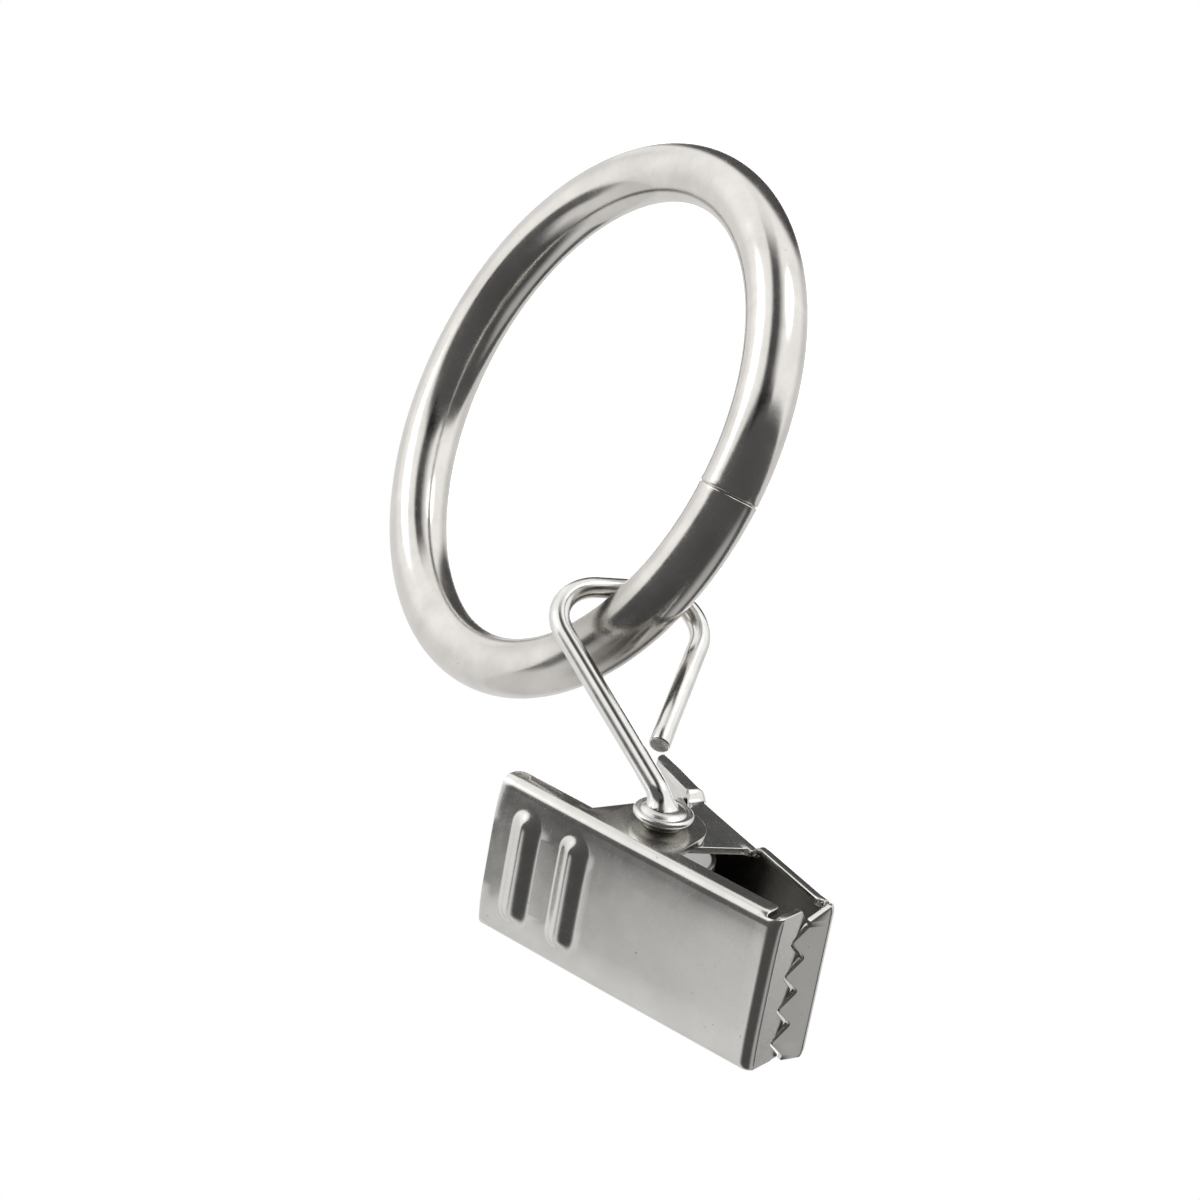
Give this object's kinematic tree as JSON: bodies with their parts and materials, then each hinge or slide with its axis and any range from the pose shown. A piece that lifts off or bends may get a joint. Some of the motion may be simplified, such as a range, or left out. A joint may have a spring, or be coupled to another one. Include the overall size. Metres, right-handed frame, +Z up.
{
  "type": "curtain ring with clip",
  "caption": "Round metal curtain ring that carries a bent wire hook and a small spring clip with toothed sheet-metal jaws.",
  "frame": {"origin": "centre of the ring, where the rod passes through", "axes": "+Y along the rod through the ring, +Z up, the clip hangs below; the hook hangs 12.1 degrees from the ring's lowest point toward +X"},
  "size_m": [0.0419, 0.0179, 0.0709],
  "materials": {
    "ring": "satin nickel plate",
    "wire_hook": "bright nickel plate",
    "front_jaw": "bright nickel plate on sheet steel",
    "back_jaw": "bright nickel plate on sheet steel",
    "pivot_rivet": "bright nickel plate",
    "spring": "plain spring steel"
  },
  "bodies": {
    "ring": {"ring": "ring"},
    "hook": {"wire_hook": "wire_hook"},
    "clip": {"front_jaw": "front_jaw", "pivot_rivet": "pivot_rivet", "spring": "spring"},
    "jaw": {"back_jaw": "back_jaw"}
  },
  "joints": [
    {"name": "hook_swing", "type": "hinge", "parent": "ring", "child": "hook", "pos_m": [0.00394, 0, -0.01838], "axis": [0.9778, 0, 0.2096], "range_deg": [-40, 40]},
    {"name": "clip_swivel", "type": "hinge", "parent": "hook", "child": "clip", "pos_m": [0.00162, 0.00367, -0.03724], "axis": [0.7034, -0.4181, 0.5748], "continuous": true},
    {"name": "jaw_open", "type": "hinge", "parent": "clip", "child": "jaw", "pos_m": [0.00162, 0.00367, -0.03724], "axis": [0.7034, -0.4181, 0.5748], "range_deg": [0, 35], "stiffness_Nm_per_rad": 0.035, "springref_deg": -20.05, "deforming": ["spring"]}
  ]
}
